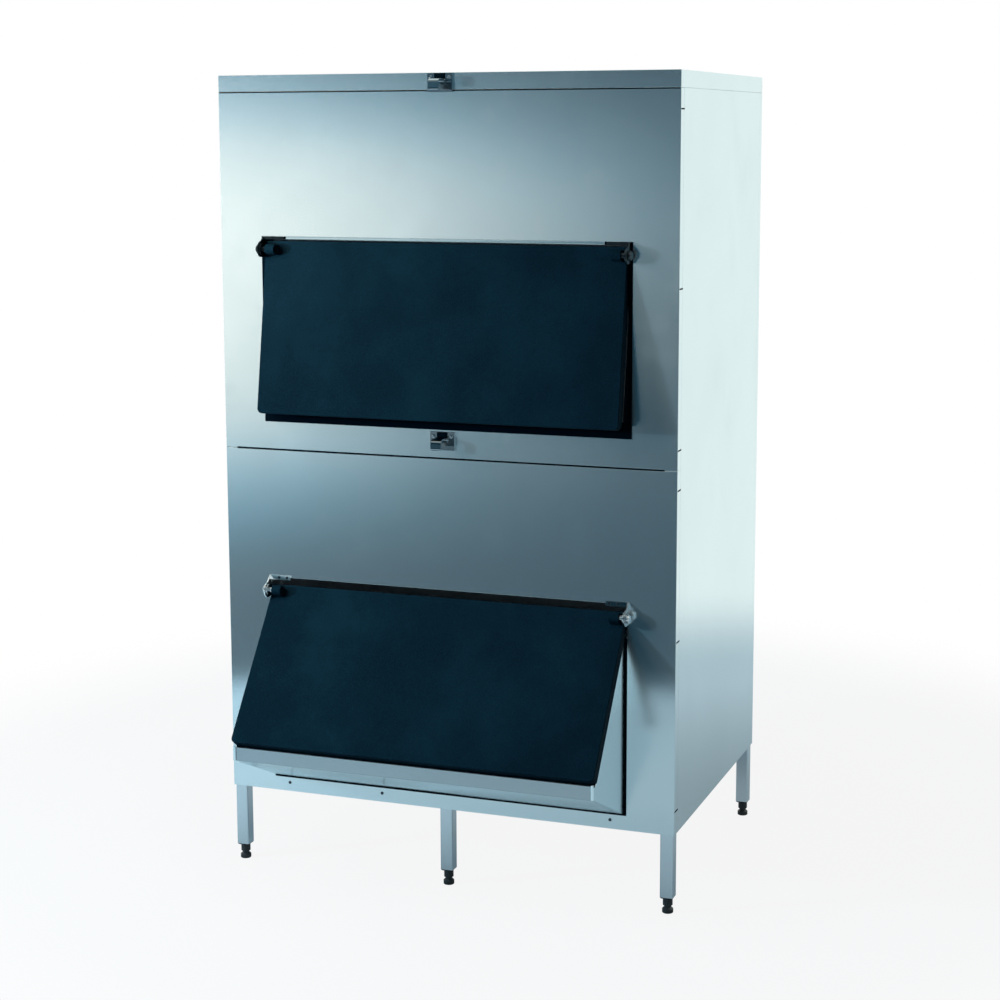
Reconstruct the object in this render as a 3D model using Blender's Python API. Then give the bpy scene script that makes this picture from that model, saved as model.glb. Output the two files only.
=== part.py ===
"""Ice storage bin: an insulated steel cabinet on six adjustable feet, with two tilting doors.

The upper door closes a framed opening, and the lower door lies on a slanting scoop chute.
Each door hangs on two side pins and swings up to a hook that catches its far edge.
Metres, +Z up. X runs along the front, which faces -Y. The origin is under the middle of the
whole object, on the surface that it stands on.
"""

import math

import bmesh
import bpy
from mathutils import Matrix, Vector

# Overall sizes of the cabinet
WIDTH = 1.078
BODY_DEPTH = 0.738
HEIGHT = 1.838
BODY_BOTTOM = 0.183

# Fits: the gap between pieces that touch, the play of a turning pin, and how far cuts overrun
GAP = 0.0003
PLAY = 0.0003
CUT = 0.02

# Steel skin
SHEET = 0.0015
BASE_SHEET = 0.002
SIDE_RETURN = 0.024
SEAM_BELOW_CATCH = 0.0193
SEAM_SLOT = 0.0038
SEAM_SLOT_MARGIN = 0.028
BAND = 0.037
TOP_RIM = 0.089

# Insulation and the storage liner
FOAM = 0.040
FLOOR_FOAM = 0.0287
LINER = 0.0015

# Doors: depths and heights across a door are measured from the pin's axis
DOOR_MARGIN = 0.1135
PIN_OUT = 0.018
UPPER_TILT = math.radians(9.3)
LOWER_TILT = math.radians(36.8)
DOOR_THICK = 0.028
DOOR_FACE = 0.0124
DOOR_ABOVE = 0.0205
DOOR_CORNER = 0.011
DOOR_EDGE = 0.0015
DOOR_WALL = 0.0035
DOOR_BACKING = 0.0027

# Lugs on the doors, and the riveted pins and brackets that carry them
LUG_INSET = 0.0085
LUG_LENGTH = 0.022
LUG_RADIUS = 0.0115
LUG_SINK = 0.001
SHANK_RADIUS = 0.006
SHANK_SHORT = 0.003
COLLAR_RADIUS = 0.0135
COLLAR = 0.003
NECK_RADIUS = 0.004
HEAD_RADIUS = 0.0105
HEAD = 0.008
HEAD_ROUND = 0.003
EAR_BESIDE = 0.004
EAR = 0.003
EAR_RADIUS = 0.018
TAB_LENGTH = 0.0495
TAB_LOW = 0.0215
TAB_HIGH = 0.0325
TAB = 0.003

# Black frame of the upper opening
FRAME_BESIDE = 0.0111
FRAME_BELOW_DOOR = 0.0245
FRAME_ABOVE_PIN = 0.028
FRAME_FLANGE = 0.002
PASSAGE_BESIDE = 0.002
PASSAGE_RISE = 0.030
PASSAGE_ABOVE_PIN = 0.0225
FRAME_WALL = 0.0025
SILL = 0.004
DOOR_SEAT = 0.0004

# Drip strip above the upper door
STRIP_SHORT = 0.005
STRIP_LOW = 0.0215
STRIP_SHEET = 0.0012
STRIP_LIP = 0.0035
STRIP_LIP_DROP = 0.0007

# Lower opening, its folded throat, the gasket and the scoop chute
OPENING_BESIDE = 0.0033
OPENING_ABOVE_LINER = 0.0007
OPENING_ABOVE_PIN = 0.0265
GASKET_SIDE = 0.005
GASKET_BASE = 0.002
GASKET_BELOW_CHEEK = 0.002
GASKET_PROUD = 0.002
GASKET_DEEP = 0.012
CHEEK_SHEET = 0.002
CHEEK_BELOW_PIN = 0.048
CHEEK_CORNER_RISE = 0.1637
CHUTE_BEYOND_DOOR = 0.0113
CHUTE_SHEET = 0.0015
LIP_ABOVE_CORNER = 0.0023
LIP = 0.0304

# Catches that hold the raised doors: heights are measured from the top of the hook's tongue
CATCH_BELOW_TOP = 0.001
CATCH_BELOW_FRAME = 0.004
TONGUE_PLAY = 0.004
CATCH_HALF = 0.029
CATCH_RISE = 0.0125
CATCH_HEIGHT = 0.041
CATCH_PLATE = 0.003
HOOK_HALF = 0.012
HOOK_SHEET = 0.0022
BARREL_RADIUS = 0.0035
HOOK_REACH = 0.043
NOSE_RADIUS = 0.010
NOSE_DROP = 0.024
NOSE_TIP_RADIUS = 0.006
NOSE_TIP_TURN = math.radians(50)
HEEL = 0.0025
HEEL_DROP = 0.009
CATCH_EAR = 0.0023
CATCH_EAR_PLAY = 0.0005
CATCH_EAR_RADIUS = 0.0036
CATCH_EAR_SINK = 0.001
CATCH_PIN_RADIUS = 0.0015
CATCH_PIN_PROUD = 0.0015
BUFFER = 0.002
BUFFER_EDGE = 0.0006

# Legs and levelling feet
LEG_SIDE = 0.030
LEG_WALL = 0.002
LEG_ROUND = 0.003
LEG_INSET = 0.003
LEG_END = 0.034
LEG_PLUG = 0.016
LEG_CHAMFER = 0.003
STEM_RADIUS = 0.005
STEM_ABOVE = 0.045
FOOT_COLLAR_RADIUS = 0.011
FOOT_COLLAR = 0.016
FOOT_NECK_RADIUS = 0.008
FOOT_NECK_LOW = 0.0135
FOOT_DISC_RADIUS = 0.0125
FOOT_DISC = 0.009
FOOT_EDGE = 0.001

# Drain in the storage floor
DRAIN_FROM_BACK = 0.1269
DRAIN_BORE_RADIUS = 0.010
DRAIN_PIPE_RADIUS = 0.0125
DRAIN_FLANGE_RADIUS = 0.025
DRAIN_FLANGE = 0.002
DRAIN_BELOW = 0.030

# How many door lengths stand upright one above another
UPRIGHT_LENGTHS = 3

# How finely round shapes are divided
ROUND_STEPS = 24
CORNER_STEPS = 4
ROUND_PROFILE = 0.5
SHARP_ANGLE = math.radians(35)

# Places across the front, worked out from the sizes above
HALF = WIDTH / 2
SEAM_SLOT_HALF = HALF - SEAM_SLOT_MARGIN
DOOR_HALF = HALF - DOOR_MARGIN
LUG_OUTER = DOOR_HALF - LUG_INSET
LUG_INNER = LUG_OUTER - LUG_LENGTH
SHANK_INNER = LUG_INNER + SHANK_SHORT
EAR_INNER = DOOR_HALF + EAR_BESIDE
TAB_INNER = EAR_INNER - TAB_LENGTH
STRIP_HALF = TAB_INNER - STRIP_SHORT
FRAME_HALF = DOOR_HALF + FRAME_BESIDE
PASSAGE_HALF = DOOR_HALF + PASSAGE_BESIDE
OPENING_HALF = DOOR_HALF + OPENING_BESIDE

# Both doors, with their catches and the chute under them, fill the height between the top and the
# base. Three door lengths stand upright, the raised two and the closed upper one, and the fourth,
# the closed lower one, leans out. So the doors are as long as that height allows.
DOOR_BACK = DOOR_FACE + DOOR_THICK
SEAT_OUT = DOOR_BACK + DOOR_SEAT
UPPER_CATCH_ROOM = CATCH_BELOW_TOP + CATCH_RISE + TONGUE_PLAY
LOWER_CATCH_ROOM = CATCH_BELOW_FRAME + CATCH_RISE + TONGUE_PLAY
CHUTE_ROOM = CHEEK_CORNER_RISE + SEAT_OUT * math.sin(LOWER_TILT)
DOOR_ROOM = HEIGHT - BODY_BOTTOM - UPPER_CATCH_ROOM - FRAME_BELOW_DOOR - LOWER_CATCH_ROOM - CHUTE_ROOM
DOOR_BELOW = DOOR_ROOM / (UPRIGHT_LENGTHS + math.cos(LOWER_TILT))
TONGUE_ABOVE_PIN = DOOR_BELOW + TONGUE_PLAY
UPPER_PIN_Z = HEIGHT - UPPER_CATCH_ROOM - DOOR_BELOW
FRAME_LOW = UPPER_PIN_Z - DOOR_BELOW - FRAME_BELOW_DOOR
PASSAGE_LOW = FRAME_LOW + PASSAGE_RISE
LOWER_PIN_Z = FRAME_LOW - LOWER_CATCH_ROOM - DOOR_BELOW
SEAM_Z = LOWER_PIN_Z + TONGUE_ABOVE_PIN + CATCH_RISE - CATCH_HEIGHT - SEAM_BELOW_CATCH
CHEEK_TOP = LOWER_PIN_Z - CHEEK_BELOW_PIN
GASKET_TOP = CHEEK_TOP - GASKET_BELOW_CHEEK
LIP_HIGH = BODY_BOTTOM + CHEEK_CORNER_RISE + LIP_ABOVE_CORNER
LIP_LOW = LIP_HIGH - LIP

# Depths, measured from the front panel's face, and the rest of the places
DOOR_REACH = (
    PIN_OUT
    + DOOR_BELOW * math.sin(LOWER_TILT)
    - DOOR_FACE * math.cos(LOWER_TILT)
    - DOOR_EDGE * (math.sin(LOWER_TILT) + math.cos(LOWER_TILT) - 1)
)
FRONT_Y = (DOOR_REACH - BODY_DEPTH) / 2
CHEEK_CORNER_Y = SEAT_OUT * math.cos(LOWER_TILT) - PIN_OUT - DOOR_BELOW * math.sin(LOWER_TILT)
CHUTE_REACH = CHUTE_BEYOND_DOOR - CHEEK_CORNER_Y
BAND_LOW = HEIGHT - BAND
INSIDE_TOP = HEIGHT - SHEET - GAP
INSIDE_HALF = HALF - SHEET
FOAM_OUTER = INSIDE_HALF - GAP
FOAM_INNER = FOAM_OUTER - FOAM
FOAM_FRONT = SHEET + GAP
FOAM_FRONT_BACK = FOAM_FRONT + FOAM
FOAM_BACK = BODY_DEPTH - SHEET - GAP
FOAM_BACK_FRONT = FOAM_BACK - FOAM
FOAM_LOW = BODY_BOTTOM + BASE_SHEET + GAP
FLOOR_FOAM_TOP = FOAM_LOW + FLOOR_FOAM
LINER_HALF = FOAM_INNER - GAP
LINER_FRONT = FOAM_FRONT_BACK + GAP
LINER_BACK = FOAM_BACK_FRONT - GAP
LINER_LOW = FLOOR_FOAM_TOP + GAP
LINER_FLOOR = LINER_LOW + LINER
OPENING_LOW = LINER_FLOOR + OPENING_ABOVE_LINER
FLANGE_FRONT = -GAP - FRAME_FLANGE
PASSAGE_HIGH = UPPER_PIN_Z + PASSAGE_ABOVE_PIN
TUNNEL_HALF = PASSAGE_HALF + FRAME_WALL
TUNNEL_HIGH = PASSAGE_HIGH + FRAME_WALL
SILL_LOW = PASSAGE_LOW - SILL
OPENING_HIGH = LOWER_PIN_Z + OPENING_ABOVE_PIN
THROAT_HALF = OPENING_HALF + SHEET
THROAT_LOW = OPENING_LOW - SHEET
THROAT_HIGH = OPENING_HIGH + SHEET
CHEEK_HALF = OPENING_HALF - GAP - GASKET_SIDE - GAP
CHEEK_INNER = CHEEK_HALF - CHEEK_SHEET
CHUTE_LOW = OPENING_LOW + GAP + GASKET_BASE + GAP
CHUTE_INSIDE = LINER_FRONT + LINER
PIVOT_OUT = GAP + CATCH_PLATE + GAP + BARREL_RADIUS
LEG_TOP = BODY_BOTTOM - GAP
LEG_X = HALF - LEG_INSET - LEG_SIDE / 2
LEG_FRONT_Y = LEG_INSET + LEG_SIDE / 2
LEG_BACK_Y = BODY_DEPTH - LEG_INSET - LEG_SIDE / 2

# Colour, roughness and metallic value of each finish
FINISHES = {
    "satin_steel": ((0.50, 0.56, 0.60), 0.34, 1.0),
    "bright_steel": ((0.62, 0.66, 0.69), 0.25, 1.0),
    "dark_steel": ((0.20, 0.22, 0.24), 0.40, 1.0),
    "tube_steel": ((0.26, 0.36, 0.44), 0.42, 1.0),
    "foam": ((0.80, 0.74, 0.55), 0.90, 0.0),
    "liner": ((0.78, 0.80, 0.81), 0.45, 0.0),
    "door_plastic": ((0.008, 0.020, 0.030), 0.45, 0.0),
    "black_plastic": ((0.006, 0.008, 0.010), 0.50, 0.0),
    "rubber": ((0.010, 0.011, 0.012), 0.75, 0.0),
    "drain_plastic": ((0.70, 0.72, 0.72), 0.50, 0.0),
}

for old in list(bpy.data.objects):
    bpy.data.objects.remove(old)


def guide(name, place, parent=None, turn=0.0):
    """An empty that carries pieces: the bin's frame, or a moving body's axis."""
    empty = bpy.data.objects.new(name, None)
    empty.location = place
    empty.rotation_euler.x = turn
    empty.parent = parent
    bpy.context.scene.collection.objects.link(empty)
    return empty


def place_object(name, shape, parent, location=(0, 0, 0)):
    mesh = bpy.data.meshes.new(name)
    bmesh.ops.recalc_face_normals(shape, faces=shape.faces)
    shape.to_mesh(mesh)
    shape.free()
    made = bpy.data.objects.new(name, mesh)
    made.parent = parent
    made.location = location
    bpy.context.scene.collection.objects.link(made)
    return made


def piece(name, shape, finish, parent, location=(0, 0, 0)):
    """A finished sub-part with its own material."""
    made = place_object(name, shape, parent, location)
    colour, roughness, metallic = FINISHES[finish]
    material = bpy.data.materials.new(name)
    material.use_nodes = True
    shader = material.node_tree.nodes["Principled BSDF"]
    shader.inputs["Base Color"].default_value = (*colour, 1)
    shader.inputs["Roughness"].default_value = roughness
    shader.inputs["Metallic"].default_value = metallic
    made.data.materials.append(material)
    made.data.shade_smooth()
    made.data.set_sharp_from_angle(angle=SHARP_ANGLE)
    return made


def tool(name, shape, parent, location=(0, 0, 0)):
    """A cutter, or a shape to join: it works on other objects and isn't part of the bin."""
    made = place_object(name, shape, parent, location)
    made.hide_render = True
    made.display_type = "WIRE"
    return made


def combine(target, operation, other):
    step = target.modifiers.new(other.name, "BOOLEAN")
    step.operation = operation
    step.solver = "EXACT"
    step.object = other


def spread(axis, across, along):
    """A point from its two places across an axis and its place along it."""
    first, second = across
    return Vector({"X": (along, first, second), "Y": (first, along, second), "Z": (first, second, along)}[axis])


def arc(centre, radius, start, end, steps=CORNER_STEPS):
    """Points on an arc between two angles in degrees."""
    turns = (math.radians(start + (end - start) * step / steps) for step in range(steps + 1))
    return [(centre[0] + radius * math.cos(turn), centre[1] + radius * math.sin(turn)) for turn in turns]


def rectangle(low_a, high_a, low_b, high_b):
    return [(low_a, low_b), (high_a, low_b), (high_a, high_b), (low_a, high_b)]


def prism(outline, axis, low, high, shape=None):
    """A closed solid: an outline across an axis, pushed along it."""
    shape = shape or bmesh.new()
    end = shape.faces.new([shape.verts.new(spread(axis, point, low)) for point in outline])
    moved = bmesh.ops.extrude_face_region(shape, geom=[end])["geom"]
    corners = [item for item in moved if isinstance(item, bmesh.types.BMVert)]
    bmesh.ops.translate(shape, vec=spread(axis, (0, 0), high - low), verts=corners)
    return shape


def block(x, y, z, shape=None):
    return prism(rectangle(*x, *y), "Z", *z, shape)


def turned(profile, axis, shape=None, closed=False):
    """A round solid about an axis, from (radius, place along it) points."""
    shape = shape or bmesh.new()
    corners = [shape.verts.new(spread(axis, (radius, 0), along)) for radius, along in profile]
    edges = [shape.edges.new(pair) for pair in zip(corners, corners[1:])]
    if closed:
        edges.append(shape.edges.new((corners[-1], corners[0])))
    line = spread(axis, (0, 0), 1)
    bmesh.ops.spin(shape, geom=corners + edges, axis=line, angle=math.tau, steps=ROUND_STEPS)
    bmesh.ops.remove_doubles(shape, verts=shape.verts, dist=GAP / ROUND_STEPS)
    return shape


def rod(radius, axis, low, high, shape=None):
    return turned([(0, low), (radius, low), (radius, high), (0, high)], axis, shape)


def end_face(shape, axis, highest):
    """The face furthest along an axis, or furthest back."""
    bmesh.ops.recalc_face_normals(shape, faces=shape.faces)
    index = "XYZ".index(axis)
    sign = 1 if highest else -1
    faces = [face for face in shape.faces if abs(face.normal[index]) > math.cos(SHARP_ANGLE)]
    return max(faces, key=lambda face: sign * face.calc_center_median()[index])


def hollow(shape, axis, wall, depth):
    """Sinks the face at the high end of an axis into a pocket with walls all round."""
    face = end_face(shape, axis, True)
    bmesh.ops.inset_region(shape, faces=[face], thickness=wall, use_even_offset=True)
    moved = bmesh.ops.extrude_face_region(shape, geom=[face])["geom"]
    corners = [item for item in moved if isinstance(item, bmesh.types.BMVert)]
    bmesh.ops.translate(shape, vec=spread(axis, (0, 0), -depth), verts=corners)
    bmesh.ops.delete(shape, geom=[face], context="FACES_ONLY")
    return shape


def round_end(shape, axis, highest, radius, steps):
    """Bevels the edges round the face at one end of an axis."""
    edges = list(end_face(shape, axis, highest).edges)
    bmesh.ops.bevel(shape, geom=edges, offset=radius, segments=steps, profile=ROUND_PROFILE, affect="EDGES")
    return shape


def sheet_outline(path, thickness):
    """The section of a bent sheet: out along a path and back at one thickness to its left."""
    points = [Vector(point) for point in path]
    runs = [(after - before).normalized() for before, after in zip(points, points[1:])]
    sides = [Vector((-run.y, run.x)) for run in runs]
    offset = []
    for point, side, next_side in zip(points, sides[:1] + sides, sides + sides[-1:]):
        offset.append(point + (side + next_side) * thickness / (1 + side.dot(next_side)))
    return [tuple(point) for point in points + offset[::-1]]


def swept_ring(half_x, y, profile):
    """A section swept round a rectangle: its points are (distance inward, height)."""
    shape = bmesh.new()
    rings = []
    for inward, height in profile:
        corners = rectangle(-half_x + inward, half_x - inward, y[0] + inward, y[1] - inward)
        rings.append([shape.verts.new((*corner, height)) for corner in corners])
    for ring, next_ring in zip(rings, rings[1:] + rings[:1]):
        turned_on, next_turned_on = (corners[1:] + corners[:1] for corners in (ring, next_ring))
        for quad in zip(ring, turned_on, next_turned_on, next_ring):
            shape.faces.new(quad)
    return shape


def door_back_line(pin_z, tilt, z):
    """Where the seat of a closed door's back lies at a height."""
    return -PIN_OUT + SEAT_OUT / math.cos(tilt) - math.tan(tilt) * (pin_z - z)


def door_back_height(pin_z, tilt, y):
    """The height at which the seat of a closed door's back reaches a depth."""
    return pin_z - (door_back_line(pin_z, tilt, pin_z) - y) / math.tan(tilt)


def skin_panel(name, z, returns, front=True):
    """A sheet across the cabinet, its sides folded along the cabinet's sides."""
    face, fold = (0, returns) if front else (BODY_DEPTH, BODY_DEPTH - returns)
    path = [(-HALF, fold), (-HALF, face), (HALF, face), (HALF, fold)]
    outline = sheet_outline(path, SHEET if front else -SHEET)
    return piece(name, prism(outline, "Z", *z), "satin_steel", BIN)


def make_skin():
    upper = skin_panel("upper_front_panel", (SEAM_Z + GAP / 2, BAND_LOW - GAP), SIDE_RETURN)
    lower = skin_panel("lower_front_panel", (BODY_BOTTOM, SEAM_Z - GAP / 2), SIDE_RETURN)
    skin_panel("back_panel", (BODY_BOTTOM, BAND_LOW - GAP), SIDE_RETURN, front=False)

    slot_half = SEAM_SLOT / 2
    slot = block((-SEAM_SLOT_HALF, SEAM_SLOT_HALF), (-CUT, SHEET + CUT), (SEAM_Z - slot_half, SEAM_Z + slot_half))
    seam_slot = tool("seam_slot_cut", slot, BIN)
    combine(upper, "DIFFERENCE", seam_slot)
    combine(lower, "DIFFERENCE", seam_slot)

    window_half = TUNNEL_HALF + GAP
    window = block((-window_half, window_half), (-CUT, CUT), (SILL_LOW - GAP, TUNNEL_HIGH + GAP))
    combine(upper, "DIFFERENCE", tool("upper_window_cut", window, BIN))

    throat = block((-THROAT_HALF, THROAT_HALF), (SHEET / 2, FOAM_FRONT_BACK), (THROAT_LOW, THROAT_HIGH))
    combine(lower, "UNION", tool("throat_fold", throat, BIN))
    opening = block((-OPENING_HALF, OPENING_HALF), (-CUT, FOAM_FRONT_BACK + CUT), (OPENING_LOW, OPENING_HIGH))
    combine(lower, "DIFFERENCE", tool("lower_opening_cut", opening, BIN))

    for name, low, high in (("left_side_panel", -HALF, -INSIDE_HALF), ("right_side_panel", INSIDE_HALF, HALF)):
        y = (SIDE_RETURN + GAP, BODY_DEPTH - SIDE_RETURN - GAP)
        piece(name, block((low, high), y, (BODY_BOTTOM, BAND_LOW - GAP)), "satin_steel", BIN)

    # The top frame is a channel, open below, round the opening that the ice drops through
    inner = TOP_RIM - SHEET
    under = HEIGHT - SHEET
    channel = [(0, BAND_LOW), (0, HEIGHT), (TOP_RIM, HEIGHT), (TOP_RIM, BAND_LOW)]
    channel += [(inner, BAND_LOW), (inner, under), (SHEET, under), (SHEET, BAND_LOW)]
    piece("top_frame", swept_ring(HALF, (0, BODY_DEPTH), channel), "satin_steel", BIN)


def make_storage():
    """The base pan, the insulation, the liner and the drain that passes through them."""
    drain_hole = rod(DRAIN_PIPE_RADIUS + GAP, "Z", BODY_BOTTOM - CUT, LINER_FLOOR + CUT)
    drain_y = LINER_BACK - DRAIN_FROM_BACK
    drain_cut = tool("drain_cut", drain_hole, BIN, (0, drain_y, 0))

    foam_x = (-LINER_HALF, LINER_HALF)
    pan = block((-FOAM_OUTER, FOAM_OUTER), (FOAM_FRONT, FOAM_BACK), (BODY_BOTTOM, BODY_BOTTOM + BASE_SHEET))
    floor = block(foam_x, (FOAM_FRONT, LINER_BACK), (FOAM_LOW, FLOOR_FOAM_TOP))
    tub = block(foam_x, (LINER_FRONT, LINER_BACK), (LINER_LOW, INSIDE_TOP))
    hollow(tub, "Z", LINER, INSIDE_TOP - LINER_FLOOR)
    liner = piece("storage_liner", tub, "liner", BIN)
    for made in (piece("base_pan", pan, "satin_steel", BIN), piece("floor_insulation", floor, "foam", BIN), liner):
        combine(made, "DIFFERENCE", drain_cut)

    through = (LINER_FRONT - CUT, LINER_FRONT + LINER + CUT)
    upper = block((-PASSAGE_HALF, PASSAGE_HALF), through, (PASSAGE_LOW, PASSAGE_HIGH))
    lower = block((-CHEEK_HALF - GAP, CHEEK_HALF + GAP), through, (OPENING_LOW, OPENING_HIGH))
    combine(liner, "DIFFERENCE", tool("liner_upper_cut", upper, BIN))
    combine(liner, "DIFFERENCE", tool("liner_lower_cut", lower, BIN))

    tall = (FOAM_LOW, INSIDE_TOP)
    walls = (FOAM_FRONT, FOAM_BACK)
    front = (FOAM_FRONT, FOAM_FRONT_BACK)
    beside = THROAT_HALF + GAP
    between = (-THROAT_HALF, THROAT_HALF)
    boxes = {
        "left_insulation": ((-FOAM_OUTER, -FOAM_INNER), walls, tall),
        "right_insulation": ((FOAM_INNER, FOAM_OUTER), walls, tall),
        "back_insulation": (foam_x, (FOAM_BACK_FRONT, FOAM_BACK), tall),
        "front_left_insulation": ((-LINER_HALF, -beside), front, (LINER_LOW, INSIDE_TOP)),
        "front_right_insulation": ((beside, LINER_HALF), front, (LINER_LOW, INSIDE_TOP)),
        "front_middle_insulation": (between, front, (THROAT_HIGH + GAP, SILL_LOW - GAP)),
        "front_top_insulation": (between, front, (TUNNEL_HIGH + GAP, INSIDE_TOP)),
    }
    for name, sides in boxes.items():
        piece(name, block(*sides), "foam", BIN)

    flange_low = LINER_FLOOR + GAP
    profile = [
        (DRAIN_BORE_RADIUS, BODY_BOTTOM - DRAIN_BELOW),
        (DRAIN_PIPE_RADIUS, BODY_BOTTOM - DRAIN_BELOW),
        (DRAIN_PIPE_RADIUS, flange_low),
        (DRAIN_FLANGE_RADIUS, flange_low),
        (DRAIN_FLANGE_RADIUS, flange_low + DRAIN_FLANGE),
        (DRAIN_BORE_RADIUS, flange_low + DRAIN_FLANGE),
    ]
    piece("drain_outlet", turned(profile, "Z", closed=True), "drain_plastic", BIN, (0, drain_y, 0))


def make_upper_frame():
    """The black frame: a flange on the panel, and a tunnel cut back to the door's back plane."""
    inside_flange = -GAP - FRAME_FLANGE / 2
    crossing = door_back_height(UPPER_PIN_Z, UPPER_TILT, inside_flange)
    side = [
        (FOAM_FRONT_BACK, SILL_LOW),
        (FOAM_FRONT_BACK, TUNNEL_HIGH),
        (inside_flange, TUNNEL_HIGH),
        (inside_flange, crossing),
        (door_back_line(UPPER_PIN_Z, UPPER_TILT, SILL_LOW), SILL_LOW),
    ]
    frame = piece("upper_door_frame", prism(side, "X", -TUNNEL_HALF, TUNNEL_HALF), "black_plastic", BIN)
    flange_z = (FRAME_LOW, UPPER_PIN_Z + FRAME_ABOVE_PIN)
    flange = block((-FRAME_HALF, FRAME_HALF), (FLANGE_FRONT, -GAP), flange_z)
    combine(frame, "UNION", tool("frame_flange", flange, BIN))
    passage_z = (PASSAGE_LOW, PASSAGE_HIGH)
    passage = block((-PASSAGE_HALF, PASSAGE_HALF), (-BODY_DEPTH, BODY_DEPTH), passage_z)
    combine(frame, "DIFFERENCE", tool("frame_passage_cut", passage, BIN))

    back = FLANGE_FRONT - GAP
    bend = UPPER_PIN_Z + STRIP_LOW + STRIP_LIP_DROP
    path = [(back, UPPER_PIN_Z + FRAME_ABOVE_PIN), (back, bend), (back - STRIP_LIP, UPPER_PIN_Z + STRIP_LOW)]
    strip = prism(sheet_outline(path, -STRIP_SHEET), "X", -STRIP_HALF, STRIP_HALF)
    piece("upper_drip_strip", strip, "bright_steel", BIN)


def make_chute():
    """Two cheeks that carry the closed lower door, a rising floor, a lip and a U gasket."""
    corner_z = BODY_BOTTOM + CHEEK_CORNER_RISE
    side = [
        (CHUTE_INSIDE, CHUTE_LOW),
        (CHUTE_INSIDE, CHEEK_TOP),
        (door_back_line(LOWER_PIN_Z, LOWER_TILT, CHEEK_TOP), CHEEK_TOP),
        (CHEEK_CORNER_Y, corner_z),
        (-CHUTE_REACH, corner_z),
        (-CHUTE_REACH, LIP_LOW),
        (0, CHUTE_LOW),
    ]
    piece("chute_left_cheek", prism(side, "X", -CHEEK_HALF, -CHEEK_INNER), "bright_steel", BIN)
    piece("chute_right_cheek", prism(side, "X", CHEEK_INNER, CHEEK_HALF), "bright_steel", BIN)

    floor_half = CHEEK_INNER - GAP
    lip_back = -CHUTE_REACH + CHUTE_SHEET
    rise = (LIP_LOW - CHUTE_LOW) / CHUTE_REACH
    floor_end = lip_back + GAP
    path = [(floor_end, CHUTE_LOW - floor_end * rise), (0, CHUTE_LOW), (CHUTE_INSIDE, CHUTE_LOW)]
    floor = prism(sheet_outline(path, CHUTE_SHEET), "X", -floor_half, floor_half)
    piece("chute_floor", floor, "bright_steel", BIN)
    lip = block((-floor_half, floor_half), (-CHUTE_REACH, lip_back), (LIP_LOW, LIP_HIGH))
    piece("chute_lip", lip, "bright_steel", BIN)

    outer = OPENING_HALF - GAP
    inner = outer - GASKET_SIDE
    low = OPENING_LOW + GAP
    ring = [(-outer, GASKET_TOP), (-outer, low), (outer, low), (outer, GASKET_TOP)]
    ring += [(inner, GASKET_TOP), (inner, low + GASKET_BASE), (-inner, low + GASKET_BASE), (-inner, GASKET_TOP)]
    piece("chute_gasket", prism(ring, "Y", -GASKET_PROUD, GASKET_DEEP), "rubber", BIN)


def door_outline(inset=0.0):
    """A door's outline across its thickness: square at the top, rounded at the bottom."""
    half = DOOR_HALF - inset
    low = inset - DOOR_BELOW
    high = DOOR_ABOVE - inset
    radius = DOOR_CORNER - inset
    right = arc((half - radius, low + radius), radius, 0, -90)
    left = arc((radius - half, low + radius), radius, -90, -180)
    return [(-half, high), (half, high)] + right + left


def make_door(side, pin_z, tilt):
    """A shell with two lugs, its foam core and its back plate, hung on the pins' axis."""
    pivot = guide(side + "_door_axis", (0, -PIN_OUT, pin_z), BIN, -tilt)
    shell_back = DOOR_BACK - DOOR_BACKING - GAP
    shape = prism(door_outline(), "Y", DOOR_FACE, shell_back)
    round_end(shape, "Y", False, DOOR_EDGE, 2)
    hollow(shape, "Y", DOOR_WALL, shell_back - DOOR_FACE - DOOR_WALL)
    shell = piece(side + "_door_shell", shape, "door_plastic", pivot)

    lugs = bmesh.new()
    root = DOOR_FACE + LUG_SINK
    lug = [(root, LUG_RADIUS)] + arc((0, 0), LUG_RADIUS, 90, 270, ROUND_STEPS // 2) + [(root, -LUG_RADIUS)]
    for low, high in ((-LUG_OUTER, -LUG_INNER), (LUG_INNER, LUG_OUTER)):
        prism(lug, "X", low, high, lugs)
    combine(shell, "UNION", tool(side + "_door_lugs", lugs, pivot))
    bore = rod(SHANK_RADIUS + PLAY, "X", -LUG_OUTER - CUT, LUG_OUTER + CUT)
    combine(shell, "DIFFERENCE", tool(side + "_door_bore_cut", bore, pivot))

    core = prism(door_outline(DOOR_WALL + GAP), "Y", DOOR_FACE + DOOR_WALL + GAP, shell_back)
    piece(side + "_door_core", core, "foam", pivot)
    backing = prism(door_outline(), "Y", DOOR_BACK - DOOR_BACKING, DOOR_BACK)
    piece(side + "_door_back_plate", backing, "door_plastic", pivot)


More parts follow.
